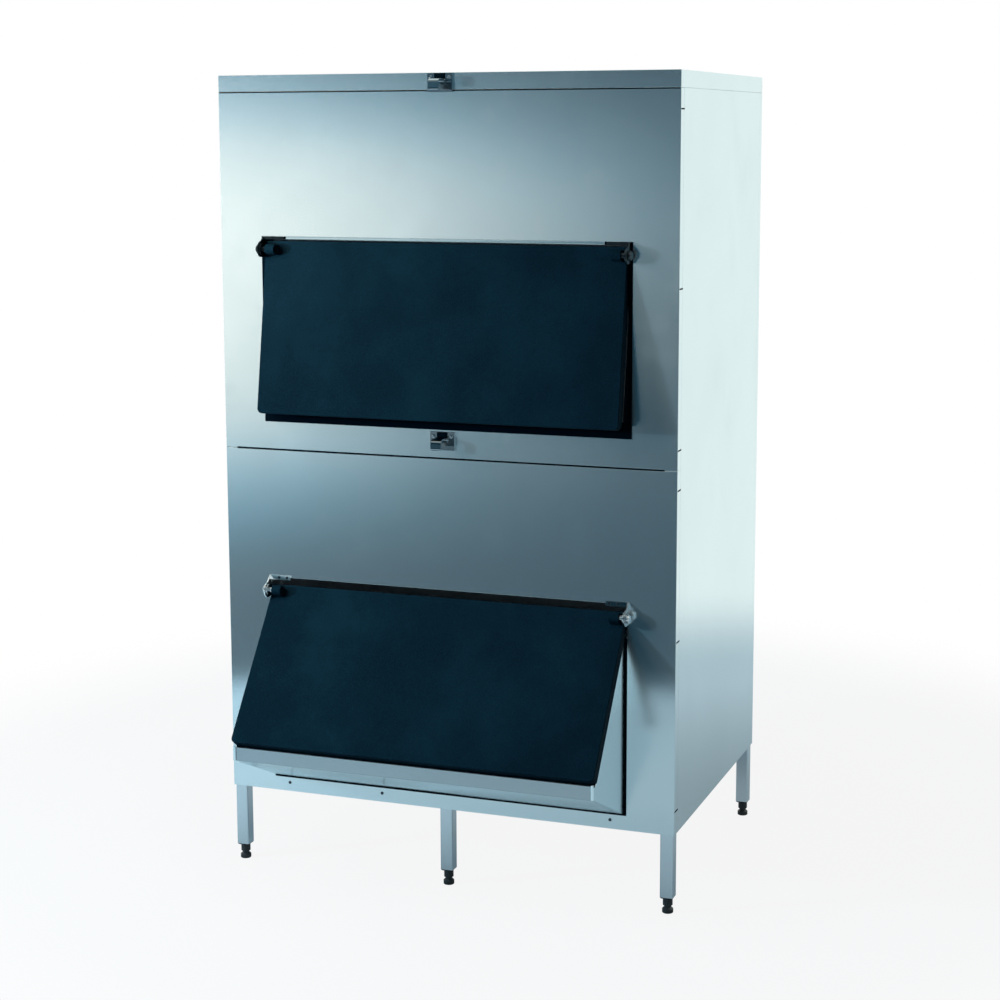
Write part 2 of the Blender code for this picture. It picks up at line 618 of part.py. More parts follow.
def make_hinges(side, pin_z, seat_y, tab_high, finish):
    """Brackets with a tab on the front and an ear beside the door, and the pins riveted in them."""
    place = (0, -PIN_OUT, pin_z)
    back = seat_y - GAP + PIN_OUT
    tab_front = back - TAB
    ear = arc((0, 0), EAR_RADIUS, -90, -270, ROUND_STEPS // 2)
    ear += [(tab_front, tab_high), (back, tab_high), (back, -EAR_RADIUS)]
    ear_outer = EAR_INNER + EAR
    hole = rod(NECK_RADIUS + PLAY, "X", -ear_outer - CUT, ear_outer + CUT)
    ear_hole = tool(side + "_ear_cut", hole, BIN, place)

    collar_inner = EAR_INNER - GAP - COLLAR
    head_inner = ear_outer + GAP
    head_outer = head_inner + HEAD
    profile = [
        (0, SHANK_INNER),
        (SHANK_RADIUS, SHANK_INNER),
        (SHANK_RADIUS, collar_inner),
        (COLLAR_RADIUS, collar_inner),
        (COLLAR_RADIUS, EAR_INNER - GAP),
        (NECK_RADIUS, EAR_INNER - GAP),
        (NECK_RADIUS, head_inner),
        (HEAD_RADIUS, head_inner),
        (HEAD_RADIUS, head_outer - HEAD_ROUND),
        (HEAD_RADIUS - HEAD_ROUND, head_outer),
        (0, head_outer),
    ]
    for hand, sign in (("left", -1), ("right", 1)):
        ear_x = sorted((sign * EAR_INNER, sign * ear_outer))
        tab_x = sorted((sign * TAB_INNER, sign * (EAR_INNER + EAR / 2)))
        bracket = piece(f"{side}_{hand}_hinge_bracket", prism(ear, "X", *ear_x), finish, BIN, place)
        tab = block(tab_x, (tab_front, back), (TAB_LOW, tab_high))
        combine(bracket, "UNION", tool(f"{side}_{hand}_hinge_tab", tab, BIN, place))
        combine(bracket, "DIFFERENCE", ear_hole)
        mirrored = [(radius, sign * along) for radius, along in profile]
        piece(f"{side}_{hand}_hinge_pin", turned(mirrored, "X"), "dark_steel", BIN, place)


def hook_outline():
    """Barrel, tongue, curled nose and heel, about the hook's pivot."""
    top = BARREL_RADIUS
    under = top - HOOK_SHEET
    front = PIVOT_OUT - HOOK_REACH
    curl = (front + NOSE_RADIUS, top - NOSE_RADIUS)
    turn = math.degrees(NOSE_TIP_TURN)
    tip = (front + NOSE_TIP_RADIUS, top - NOSE_DROP + NOSE_TIP_RADIUS * math.sin(NOSE_TIP_TURN))
    under_angle = 180 - math.degrees(math.asin(under / BARREL_RADIUS))
    heel_front = BARREL_RADIUS - HEEL
    heel_angle = 360 - math.degrees(math.acos(heel_front / BARREL_RADIUS))
    outline = arc((0, 0), BARREL_RADIUS, 0, 90)
    outline += arc(curl, NOSE_RADIUS, 90, 180)
    outline += arc(tip, NOSE_TIP_RADIUS, 180, 180 + turn)
    outline += arc(tip, NOSE_TIP_RADIUS - HOOK_SHEET, 180 + turn, 180)
    outline += arc(curl, NOSE_RADIUS - HOOK_SHEET, 180, 90)
    outline += arc((0, 0), BARREL_RADIUS, under_angle, heel_angle, 2 * CORNER_STEPS)
    return outline + [(heel_front, -HEEL_DROP), (BARREL_RADIUS, -HEEL_DROP)]


def make_catch(side, pin_z):
    """A riveted plate with two ears, a hook on a pin between them, and a rubber buffer above."""
    tongue = pin_z + TONGUE_ABOVE_PIN
    pivot = (0, -PIVOT_OUT, tongue - BARREL_RADIUS)
    plate_front = -GAP - CATCH_PLATE
    plate_z = (tongue + CATCH_RISE - CATCH_HEIGHT, tongue + CATCH_RISE)
    shape = block((-CATCH_HALF, CATCH_HALF), (plate_front, -GAP), plate_z)
    plate = piece(side + "_catch_plate", shape, "satin_steel", BIN)

    ears = bmesh.new()
    root = PIVOT_OUT + plate_front + CATCH_EAR_SINK
    ear = [(root, CATCH_EAR_RADIUS)] + arc((0, 0), CATCH_EAR_RADIUS, 90, 270) + [(root, -CATCH_EAR_RADIUS)]
    ear_inner = HOOK_HALF + CATCH_EAR_PLAY
    ear_outer = ear_inner + CATCH_EAR
    for low, high in ((-ear_outer, -ear_inner), (ear_inner, ear_outer)):
        prism(ear, "X", low, high, ears)
    combine(plate, "UNION", tool(side + "_catch_ears", ears, BIN, pivot))
    bore = rod(CATCH_PIN_RADIUS + PLAY, "X", -ear_outer - CUT, ear_outer + CUT)
    pin_hole = tool(side + "_catch_pin_cut", bore, BIN, pivot)
    combine(plate, "DIFFERENCE", pin_hole)

    hook = piece(side + "_hook", prism(hook_outline(), "X", -HOOK_HALF, HOOK_HALF), "bright_steel", BIN, pivot)
    combine(hook, "DIFFERENCE", pin_hole)
    pin_end = ear_outer + CATCH_PIN_PROUD
    piece(side + "_catch_pin", rod(CATCH_PIN_RADIUS, "X", -pin_end, pin_end), "dark_steel", BIN, pivot)

    buffer_y = (plate_front - GAP - BUFFER, plate_front - GAP)
    buffer_z = (tongue + GAP, tongue + CATCH_RISE - BUFFER_EDGE)
    pad = block((-HOOK_HALF, HOOK_HALF), buffer_y, buffer_z)
    round_end(pad, "Y", False, BUFFER_EDGE, 1)
    piece(side + "_catch_buffer", pad, "rubber", BIN)


def leg_shape():
    """A square tube, open at the top, with a chamfered plug in its lower end."""
    centre = LEG_SIDE / 2 - LEG_ROUND
    outline = []
    for sign_x, sign_y, start in ((1, 1, 0), (-1, 1, 90), (-1, -1, 180), (1, -1, 270)):
        outline += arc((sign_x * centre, sign_y * centre), LEG_ROUND, start, start + 90, 2)
    shape = prism(outline, "Z", LEG_END, LEG_TOP)
    hollow(shape, "Z", LEG_WALL, LEG_TOP - LEG_END - LEG_PLUG)
    return round_end(shape, "Z", False, LEG_CHAMFER, 1)


def foot_shape():
    """A levelling foot: a disc on the floor, a neck, a gripping collar and a stem."""
    collar_top = LEG_END - GAP
    profile = [
        (0, 0),
        (FOOT_DISC_RADIUS - FOOT_EDGE, 0),
        (FOOT_DISC_RADIUS, FOOT_EDGE),
        (FOOT_DISC_RADIUS, FOOT_DISC),
        (FOOT_NECK_RADIUS, FOOT_NECK_LOW),
        (FOOT_NECK_RADIUS, collar_top - FOOT_COLLAR),
        (FOOT_COLLAR_RADIUS, collar_top - FOOT_COLLAR),
        (FOOT_COLLAR_RADIUS, collar_top),
        (STEM_RADIUS, collar_top),
        (STEM_RADIUS, LEG_END + STEM_ABOVE),
        (0, LEG_END + STEM_ABOVE),
    ]
    return turned(profile, "Z")


def make_legs():
    places = {
        "front_left": (-LEG_X, LEG_FRONT_Y, 0),
        "front_middle": (0, LEG_FRONT_Y, 0),
        "front_right": (LEG_X, LEG_FRONT_Y, 0),
        "rear_left": (-LEG_X, LEG_BACK_Y, 0),
        "rear_middle": (0, LEG_BACK_Y, 0),
        "rear_right": (LEG_X, LEG_BACK_Y, 0),
    }
    bores = bmesh.new()
    for place in places.values():
        bore = rod(STEM_RADIUS + PLAY, "Z", LEG_END - CUT, LEG_END + LEG_PLUG + CUT)
        bmesh.ops.transform(bore, matrix=Matrix.Translation(place), verts=bore.verts)
        copy = bpy.data.meshes.new("leg_bore")
        bore.to_mesh(copy)
        bore.free()
        bores.from_mesh(copy)
        bpy.data.meshes.remove(copy)
    leg_bores = tool("leg_bore_cut", bores, BIN)
    for name, place in places.items():
        leg = piece(name + "_leg", leg_shape(), "tube_steel", BIN, place)
        combine(leg, "DIFFERENCE", leg_bores)
        piece(name + "_foot", foot_shape(), "rubber", BIN, place)


BIN = guide("bin", (0, FRONT_Y, 0))
make_skin()
make_storage()
make_upper_frame()
make_chute()
make_door("upper", UPPER_PIN_Z, UPPER_TILT)
make_door("lower", LOWER_PIN_Z, LOWER_TILT)
make_hinges("upper", UPPER_PIN_Z, FLANGE_FRONT, FRAME_ABOVE_PIN, "dark_steel")
make_hinges("lower", LOWER_PIN_Z, 0, TAB_HIGH, "bright_steel")
make_catch("upper", UPPER_PIN_Z)
make_catch("lower", LOWER_PIN_Z)
make_legs()
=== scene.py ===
import math

import bmesh
import bpy
from mathutils import Matrix, Vector


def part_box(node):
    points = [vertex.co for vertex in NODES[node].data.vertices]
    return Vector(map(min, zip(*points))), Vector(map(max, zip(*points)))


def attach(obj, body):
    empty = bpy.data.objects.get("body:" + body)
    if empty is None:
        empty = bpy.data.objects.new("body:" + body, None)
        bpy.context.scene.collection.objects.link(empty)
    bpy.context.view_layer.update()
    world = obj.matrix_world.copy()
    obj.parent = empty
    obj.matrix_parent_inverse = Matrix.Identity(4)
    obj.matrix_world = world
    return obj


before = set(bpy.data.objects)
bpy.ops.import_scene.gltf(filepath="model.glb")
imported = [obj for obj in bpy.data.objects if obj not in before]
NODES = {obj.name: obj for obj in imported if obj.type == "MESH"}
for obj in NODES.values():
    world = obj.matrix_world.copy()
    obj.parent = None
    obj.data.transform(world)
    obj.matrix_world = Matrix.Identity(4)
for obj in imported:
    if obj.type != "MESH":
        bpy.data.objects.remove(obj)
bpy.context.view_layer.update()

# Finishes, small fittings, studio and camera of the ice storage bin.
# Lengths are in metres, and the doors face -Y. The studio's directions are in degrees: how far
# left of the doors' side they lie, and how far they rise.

HALF_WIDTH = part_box("top_frame")[1].x
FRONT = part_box("lower_front_panel")[0].y
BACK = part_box("back_panel")[1].y
HANDS = (("left", -1), ("right", 1))
FORWARDS = (0, -1, 0)
BACKWARDS = (0, 1, 0)

# Camera, solved from the cabinet's corners in the photograph
CAMERA_PLACE = (1.681, -4.4438, 1.710)
CAMERA_TURN = 20.253
CAMERA_PITCH = -8.520
CAMERA_ROLL = -0.179
CAMERA_LENS = 74.0
CAMERA_SENSOR = 36
CAMERA_SHIFT_Y = -0.06

# Square lamps: place, width, watts and colour. The gloss doesn't mirror them, but the sheets are
# partly dull and show their light softly. "key" shades the doors from left to right, and "side"
# is small, so that the doors throw shadows.
LAMPS = {
    "key": ((-1.2, -1.1, 1.75), 0.8, 26, (1.10, 1.05, 0.98)),
    "side": ((-3.2, -2.35, 1.5), 0.3, 130, (0.58, 0.96, 1.18)),
    "fill": ((3.6, -2.8, 1.6), 2.0, 6, (1.0, 1.0, 1.0)),
    "rear": ((1.5, 4.2, 1.3), 2.0, 30, (1.0, 1.0, 1.0)),
}
LAMP_TARGET = (0, 0, 0.9)
AMBIENT = (0.045, 0.066, 0.085)

# The floor's distances are from its middle. Seen straight it is nearly white, and mirrored in the
# steel it is less white and bluish. Near the middle its colour is painted darker, and mirrored it
# glows less there, as painted shade under the cabinet. The "side" values hold beside and behind
# the cabinet.
FLOOR_MIDDLE = (0, 0.45, 0)
FLOOR_RADIUS = 3.2
FLOOR_CORNERS = 96
FLOOR_COLOUR = (0.44, 0.55, 0.60)
FLOOR_PAINTED_SHADE_REACH = (0.55, 1.35)
FLOOR_PAINTED_SHADE_SHARE = 0.45
FLOOR_GRAIN = (90, 90, 90)
FLOOR_GRAIN_SHADES = (0.95, 1)
FLOOR_SEEN_FADE = (1.3, 2.2)
FLOOR_SEEN_WHITENING = 0.90
FLOOR_GLOSS_FADE = (2.36, 2.60)
FLOOR_GLOSS_PAINTED_SHADE_REACH = (0.7, 1.5)
FLOOR_GLOSS_WHITENING = (0.14, 0.42)
FLOOR_GLOSS_TINT = (0.80, 1.0, 1.08)
FLOOR_SIDE_PLACES = (-0.6, -0.2)
FLOOR_SIDE_FADE = (1.75, 2.85)
FLOOR_SIDE_WHITENING = 0.22

# What the steel mirrors, as levels of white: a soft box low on the left, a dark flag in front, a
# light on the right that falls off upwards, a faint one overhead, and white behind. An edge is
# the two directions between which it fades in. The box's top and low edges slant, so they have a
# rise at each of BOX_EDGE_PLACES, and their softness is measured from it.
RIGHT_RISE = (-15, 7)
RIGHT_LEVELS = (0.88, 0.24)
FLAG_LEVEL = 0.04
FLAG_RIGHT_EDGE = (-20, -4)
FLAG_TOP_EDGE = (34, 22)
CEILING_LEVEL = 0.14
BOX_LEVEL = 1.34
BOX_RIGHT_EDGE = (14.0, 26.0)
BOX_LEFT_EDGE = (95, 70)
BOX_EDGE_PLACES = (19, 26)
BOX_TOP_EDGES = (-1.4, 0.6)
BOX_TOP_SOFTNESS = (2.4, -2.2)
BOX_LOW_EDGES = (-1.8, -8.4)
BOX_LOW_SOFTNESS = (-3.8, 2.2)
BEHIND_EDGE = (62, 100)
BEHIND_LEVEL = 1.16
OVERHEAD_RISE = (8, 42)
OVERHEAD_LEVEL = 0.40

# The colour at each share of the top level. Overhead and on the right it is plainer.
TINT_TOP = 1.25
TINT_STOPS = (
    (0.0, (0.0, 0.0, 0.0)), (0.124, (0.026, 0.124, 0.190)), (0.227, (0.066, 0.227, 0.335)),
    (0.40, (0.182, 0.400, 0.508)), (0.589, (0.388, 0.589, 0.680)), (0.806, (0.690, 0.806, 0.835)),
    (0.922, (0.905, 0.922, 0.840)), (1.0, (1.0, 0.99, 0.90)),
)
PLAIN_LEFT = (-12, -45)
PLAIN_COLOUR = (0.91, 1.0, 0.975)
WHITE = (1, 1, 1, 1)

# The part of a noise's values that an effect runs over
NOISE_WIDE = (0.2, 0.8)
NOISE_BROAD = (0.25, 0.75)
NOISE_MIDDLE = (0.3, 0.7)
NOISE_UPPER = (0.35, 0.7)
NOISE_PEAKS = (0.52, 0.75)
NOISE_ROUGHNESS = 0.6

# Brushed metal. Grains are counts a metre along each axis.
VERTICAL_GRAIN = (1500, 1500, 7)
CROSS_GRAIN = (7, 1500, 1500)
FITTING_GRAIN = (200, 500, 500)
PLATED_GRAIN = (300, 400, 400)
CLOUD_GRAIN = (3.1, 3.7, 2.3)
CLOUD_SHARE = 0.4
CLOUD_SHADE = 0.93
CLOUD_ROUGHENING = (-0.008, 0.012)
SMUDGE_GRAIN = (14, 17, 11)
SMUDGE_ROUGHENING = (0, 0.02)
SCRATCH_SHADE = 0.98
SCRATCH_ROUGHENING = 0.012
SCRATCH_DEPTH = 0.00001
SCRATCH_STRENGTH = 0.10

# Moulded plastic: pebbles, with a finer and a broader relief over them, and patches of colour.
# The finer relief's hollows are painted darker as shade.
PEBBLE_DEPTH = 0.9
FINE_TIMES = 1.7
FINE_DEPTH = 0.7
FINE_PAINTED_SHADE = (0, 0.6)
BROAD_TIMES = 3
BROAD_DEPTH = 0.5
PATCH_GRAIN = (5, 6, 4)
PATCH_SHADES = (0, 0.4)
MOULDED_ROUGHENING = 0.06

# Rounding of edges
WELD_DISTANCE = 0.00002
ROUNDED_FROM_ANGLE = 40
SHARP_FROM_ANGLE = 35

# Fasteners: a head's shape as shares of its radius and rise, and a (radius, rise) for each kind
SUNK = 0.0004
LATHE_STEPS = 20
RIVET_SHAPE = ((1, 0.25), (0.85, 0.7), (0.5, 0.95), (0, 1))
SCREW_SHAPE = ((1, 0.45), (0.88, 0.85), (0.62, 1), (0.42, 1), (0.34, 0.55), (0, 0.5))
CATCH_RIVET = (0.0042, 0.0021)
CATCH_RIVET_X = 0.0212
CATCH_RIVET_ABOVE_HOOK = 0.003
PAD_GAP = 0.0003
TAB_HEIGHTS = {"upper": 0.0065, "lower": 0.011}
TAB_THICK = 0.003
TAB_SCREWS_X = (0.3885, 0.4085)
TAB_SCREW_SHARE = 0.29
TAB_SCREW_RISE = 0.0014
BASE_SCREW = (0.0036, 0.0014)
BASE_SCREWS_X = (-0.392, -0.157, 0.392)
BASE_SCREW_HEIGHT = 0.2035
BACK_RIVET = (0.004, 0.0012)
BACK_RIVET_INSET = 0.014
BACK_RIVET_HEIGHTS = [0.24 + 0.25 * step for step in range(7)]
BACK_RIVET_SUNK = 0.0012

# Trim: depths are measured back from the face that a piece lies in. The dark blocks in the seam,
# under the band and in the side slits are painted shade of those gaps.
SEAM_HALF_LENGTH = 0.5105
SEAM_HALF_HEIGHT = 0.0018
SEAM_DEPTHS = (0.0003, 0.0013)
BAND_GAP_SHADE_INSET = 0.002
BAND_GAP_SHADE_HEIGHT = 0.0026
BAND_GAP_SHADE_DEPTHS = (-0.0002, 0.001)
SLIT_HEIGHTS = (1.757, 1.381, 1.036, 0.949, 0.616, 0.236)
SLIT_HALF_HEIGHT = 0.0016
SLIT_DEPTHS = (0.002, 0.027)
SLIT_SUNK = 0.001
SLIT_PROUD = 0.0002
HEM_WIDTH = 0.0062
HEM_DEPTHS = (-0.0034, -0.0002)
HEM_ABOVE_LIP = 0.004
HEM_ROUNDING = 0.0015


def add(tree, kind, inputs=None, **settings):
    """A shader node with its settings, and its inputs by name or number."""
    node = tree.nodes.new(kind)
    for name, value in settings.items():
        setattr(node, name, value)
    for name, value in (inputs or {}).items():
        if isinstance(value, bpy.types.NodeSocket):
            tree.links.new(value, node.inputs[name])
        else:
            node.inputs[name].default_value = value
    return node


def calc(tree, operation, *values):
    return add(tree, "ShaderNodeMath", dict(enumerate(values)), operation=operation).outputs[0]


def product(tree, first, *others):
    for other in others:
        first = calc(tree, "MULTIPLY", first, other)
    return first


def total(tree, first, *others):
    for other in others:
        first = calc(tree, "ADD", first, other)
    return first


def remap(tree, value, source, target=(0, 1), curve="SMOOTHSTEP"):
    """Takes one range to another and keeps to its ends."""
    inputs = {
        "Value": value, "From Min": source[0], "From Max": source[1],
        "To Min": target[0], "To Max": target[1],
    }
    return add(tree, "ShaderNodeMapRange", inputs, interpolation_type=curve).outputs[0]


def blend(tree, share, first, second):
    """A number between two others."""
    return add(tree, "ShaderNodeMix", {0: share, 2: first, 3: second}).outputs[0]


def blend_colour(tree, share, first, second):
    inputs = {0: share, 6: first, 7: second}
    return add(tree, "ShaderNodeMix", inputs, data_type="RGBA").outputs[2]


def blend_shader(tree, share, first, second):
    return add(tree, "ShaderNodeMixShader", {0: share, 1: first, 2: second}).outputs[0]


def scale_colour(tree, colour, scale):
    inputs = {0: colour, "Scale": scale}
    return add(tree, "ShaderNodeVectorMath", inputs, operation="SCALE").outputs[0]


def object_place(tree):
    return add(tree, "ShaderNodeTexCoord").outputs["Object"]


def straight_ray(tree, path):
    """1 for the camera's rays, also through glass."""
    return calc(tree, "MAXIMUM", path["Is Camera Ray"], path["Is Transmission Ray"])


def noise(tree, scales, detail=3, distortion=0.0):
    """Noise fixed to the object, with a number of grains a metre along each axis."""
    mapping = add(tree, "ShaderNodeMapping", {"Vector": object_place(tree), "Scale": scales})
    inputs = {
        "Vector": mapping.outputs[0], "Scale": 1, "Detail": detail,
        "Roughness": NOISE_ROUGHNESS, "Distortion": distortion,
    }
    return add(tree, "ShaderNodeTexNoise", inputs).outputs["Fac"]


def bumps(tree, height, depth, strength):
    inputs = {"Height": height, "Distance": depth, "Strength": strength}
    return add(tree, "ShaderNodeBump", inputs).outputs[0]


def start_material(name, **sockets):
    """A material with its constant values set on the shader's own sockets."""
    material = bpy.data.materials.new(name)
    material.use_nodes = True
    tree = material.node_tree
    shader = tree.nodes["Principled BSDF"]
    for socket, value in sockets.items():
        shader.inputs[socket.replace("_", " ")].default_value = value
    return material, tree, shader


def link(tree, source, shader, socket):
    tree.links.new(source, shader.inputs[socket])


def rgba(colour, share=1.0):
    return (*(value * share for value in colour), 1)


def brushed(name, colour, roughness, grain, spread, metallic=1.0):
    """Brushed metal: long fine scratches, faint clouds of handling and a stretched gloss."""
    material, tree, shader = start_material(name, Metallic=metallic, Anisotropic=spread)
    scratches = noise(tree, grain, detail=4)
    clouds = noise(tree, CLOUD_GRAIN, detail=4, distortion=0.4)
    handled = noise(tree, SMUDGE_GRAIN, detail=5)
    scratched = remap(tree, scratches, NOISE_BROAD)
    base = blend_colour(tree, scratched, rgba(colour, SCRATCH_SHADE), rgba(colour))
    cloudy = product(tree, remap(tree, clouds, NOISE_UPPER), CLOUD_SHARE)
    base = blend_colour(tree, cloudy, base, rgba(colour, CLOUD_SHADE))
    link(tree, base, shader, "Base Color")
    swing = (roughness - SCRATCH_ROUGHENING, roughness + SCRATCH_ROUGHENING)
    rough = remap(tree, scratches, NOISE_WIDE, swing)
    smudges = remap(tree, handled, NOISE_PEAKS, SMUDGE_ROUGHENING)
    rough = total(tree, rough, remap(tree, clouds, NOISE_MIDDLE, CLOUD_ROUGHENING), smudges)
    link(tree, rough, shader, "Roughness")
    link(tree, bumps(tree, scratches, SCRATCH_DEPTH, SCRATCH_STRENGTH), shader, "Normal")
    return material


def moulded(name, colour, mottle, roughness, grain, depth, strength=0.6, specular=0.5):
    """Textured moulding: a pebbled skin whose hollows are duller and painted darker as shade."""
    material, tree, shader = start_material(name, Specular_IOR_Level=specular)
    inputs = {"Vector": object_place(tree), "Scale": grain}
    pebbles = add(tree, "ShaderNodeTexVoronoi", inputs, feature="SMOOTH_F1").outputs["Distance"]
    fine = noise(tree, (grain * FINE_TIMES,) * 3, detail=4)
    broad = noise(tree, (grain / BROAD_TIMES,) * 3)
    height = total(
        tree, product(tree, pebbles, PEBBLE_DEPTH), product(tree, fine, FINE_DEPTH),
        product(tree, broad, BROAD_DEPTH))
    patches = remap(tree, noise(tree, PATCH_GRAIN, detail=5), NOISE_UPPER, PATCH_SHADES)
    # Painted shade in the fine relief's hollows, and patches that are the moulding's own tone
    shade = total(tree, remap(tree, fine, NOISE_MIDDLE, FINE_PAINTED_SHADE), patches)
    link(tree, blend_colour(tree, shade, rgba(colour), rgba(mottle)), shader, "Base Color")
    swing = (roughness + MOULDED_ROUGHENING, roughness - MOULDED_ROUGHENING)
    link(tree, remap(tree, fine, NOISE_MIDDLE, swing), shader, "Roughness")
    link(tree, bumps(tree, height, depth, strength), shader, "Normal")
    return material


def tube(name, colour):
    """Drawn square tube with a dark plug in its lower end."""
    material = brushed(name, colour, roughness=0.22, grain=VERTICAL_GRAIN, spread=0.6)
    tree = material.node_tree
    shader = tree.nodes["Principled BSDF"]
    height = add(tree, "ShaderNodeSeparateXYZ", {0: object_place(tree)}).outputs[2]
    steel = calc(tree, "GREATER_THAN", height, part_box("front_left_leg")[0].z + PLUG_RISE)
    base = shader.inputs["Base Color"].links[0].from_socket
    link(tree, blend_colour(tree, steel, rgba(PLUG_COLOUR), base), shader, "Base Color")
    link(tree, steel, shader, "Metallic")
    return material


STEEL = (0.705, 0.785, 0.815)
PLUG_COLOUR = (0.012, 0.013, 0.015)
PLUG_RISE = 0.0035
MATERIALS = {
    "satin": brushed("satin_sheet", STEEL, 0.145, VERTICAL_GRAIN, spread=0.92, metallic=0.86),
    "band": brushed("band_sheet", STEEL, 0.145, CROSS_GRAIN, spread=0.92, metallic=0.86),
    "bright": brushed("bright_sheet", (0.80, 0.91, 0.95), 0.17, CROSS_GRAIN, spread=0.8),
    # Painted shade: the chute's lip is its steel painted darker, as it lies under the lower door.
    "lip": brushed("lip_sheet_painted_shade", (0.40, 0.45, 0.48), 0.17, CROSS_GRAIN, spread=0.8),
    # Painted shade: the catch plates and hooks are stainless steel painted dark.
    "plate": brushed("catch_plate_steel_painted_shade", (0.36, 0.40, 0.43), 0.16, VERTICAL_GRAIN, spread=0.8),
    "hook": brushed("hook_steel_painted_shade", (0.36, 0.41, 0.44), 0.10, FITTING_GRAIN, spread=0.2),
    # Painted light: the pale tab steel is a lit copy of the hinge steel.
    "tab": brushed("tab_steel_painted_light", (0.93, 0.95, 0.96), 0.16, FITTING_GRAIN, spread=0.2),
    "fitting": brushed("fitting_steel", (0.62, 0.65, 0.67), 0.14, FITTING_GRAIN, spread=0.2),
    "dark_metal": brushed("dark_plated", (0.055, 0.070, 0.080), 0.30, PLATED_GRAIN, spread=0.2),
    "tube": tube("drawn_tube", (0.66, 0.71, 0.75)),
    "door": moulded(
        "door_skin", (0.0018, 0.0075, 0.0135), (0.0052, 0.0235, 0.0365), 0.5, 300, 0.0008,
        specular=0.01),
    "black": moulded(
        "black_moulding", (0.0008, 0.0030, 0.0058), (0.0016, 0.0055, 0.0095), 0.5, 700, 0.0001,
        specular=0.0),
    "rubber": moulded(
        "black_rubber", (0.0010, 0.0038, 0.0065), (0.0020, 0.0065, 0.0100), 0.65, 900, 0.0001,
        specular=0.0),
    "foot": moulded(
        "foot_moulding", (0.012, 0.013, 0.014), (0.020, 0.022, 0.024), 0.5, 800, 0.0001),
    "foam": moulded("cut_foam", (0.78, 0.70, 0.48), (0.86, 0.80, 0.60), 0.9, 260, 0.0008),
    # Painted shade: the liner is painted grey, so that the gaps into the bin read dark.
    "liner": moulded(
        "liner_skin_painted_shade", (0.42, 0.45, 0.47), (0.46, 0.49, 0.51), 0.38, 60, 0.0002, strength=0.2),
    "drain": moulded("drain_moulding", (0.58, 0.61, 0.62), (0.66, 0.68, 0.69), 0.45, 400, 0.0001),
}
DARK_FITTINGS = (
    "upper_left_hinge_bracket", "upper_right_hinge_bracket", "upper_left_hinge_pin",
    "upper_right_hinge_pin", "upper_catch_pin", "lower_catch_pin",
)
# The lower left hinge bracket wears the pale tab steel as painted light, and the lower right one
# the dark plate steel as painted shade.
FINISHES = {
    "storage_liner": "liner", "drain_outlet": "drain", "upper_door_frame": "black",
    "top_frame": "band", "upper_drip_strip": "bright", "lower_left_hinge_bracket": "tab",
    "lower_right_hinge_bracket": "plate", **dict.fromkeys(DARK_FITTINGS, "dark_metal"),
}
FINISHES_BY_ENDING = (
    ("_leg", "tube"), ("_foot", "foot"), ("insulation", "foam"), ("_core", "foam"),
    ("door_shell", "door"), ("back_plate", "door"), ("_gasket", "rubber"), ("_buffer", "rubber"),
    ("_pin", "fitting"), ("_hook", "hook"), ("_bracket", "fitting"), ("_catch_plate", "plate"),
    ("_cheek", "bright"), ("_lip", "lip"), ("chute_floor", "bright"),
)
ROUNDED = {
    "door_shell": 0.0012, "back_plate": 0.0008, "top_frame": 0.0012, "front_panel": 0.0012,
    "back_panel": 0.0012, "door_frame": 0.0006, "hinge_bracket": 0.0006, "catch_plate": 0.0008,
    "cheek": 0.0006, "chute_lip": 0.0005, "drip_strip": 0.0003, "_foot": 0.0006, "_buffer": 0.0005,
}


def finish_of(node):
    """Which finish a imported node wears."""
    if node in FINISHES:
        return FINISHES[node]
    return next((finish for ending, finish in FINISHES_BY_ENDING if node.endswith(ending)), "satin")


def soften(piece, width):
    """Rounds a piece's edges, so that they catch the light."""
    bevel = piece.modifiers.new("rounded_edges", "BEVEL")
    bevel.width = width
    bevel.segments = 2
    bevel.limit_method = "ANGLE"
    bevel.angle_limit = math.radians(ROUNDED_FROM_ANGLE)
    piece.modifiers.new("normals", "WEIGHTED_NORMAL").weight = 100


def dress_nodes():
    """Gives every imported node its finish, and rounds the edges that show."""
    for name, node in NODES.items():
        node.data.materials.clear()
        node.data.materials.append(MATERIALS[finish_of(name)])
        width = next((width for part, width in ROUNDED.items() if part in name), None)
        if width:
            node.modifiers.new("weld", "WELD").merge_threshold = WELD_DISTANCE
            soften(node, width)


def place_piece(name, shape, finish):
    """A small fitting that rides on the cabinet."""
    mesh = bpy.data.meshes.new(name)
    bmesh.ops.recalc_face_normals(shape, faces=shape.faces)
    shape.to_mesh(mesh)
    shape.free()
    mesh.materials.append(MATERIALS[finish])
    mesh.shade_smooth()
    mesh.set_sharp_from_angle(angle=math.radians(SHARP_FROM_ANGLE))
    made = bpy.data.objects.new(name, mesh)
    bpy.context.scene.collection.objects.link(made)
    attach(made, "cabinet")
    return made


def lathe(shape, profile, place, direction):
    """Turns (radius, height) points about a line from a place along a direction."""
    turned = Vector(direction).to_track_quat("Z", "Y").to_matrix().to_4x4()
    matrix = Matrix.Translation(place) @ turned
    turns = [math.tau * step / LATHE_STEPS for step in range(LATHE_STEPS)]
    rings = []
    for radius, height in profile:
        points = [(radius * math.cos(turn), radius * math.sin(turn), height) for turn in turns]
        points = points if radius else points[:1]
        rings.append([shape.verts.new(matrix @ Vector(point)) for point in points])
    for ring, following in zip(rings, rings[1:]):
        for step in range(LATHE_STEPS):
            after = (step + 1) % LATHE_STEPS
            corners = [ring[step % len(ring)], ring[after % len(ring)]]
            corners += [following[after % len(following)], following[step % len(following)]]
            unique = list(dict.fromkeys(corners))
            if len(unique) > 2:
                shape.faces.new(unique)


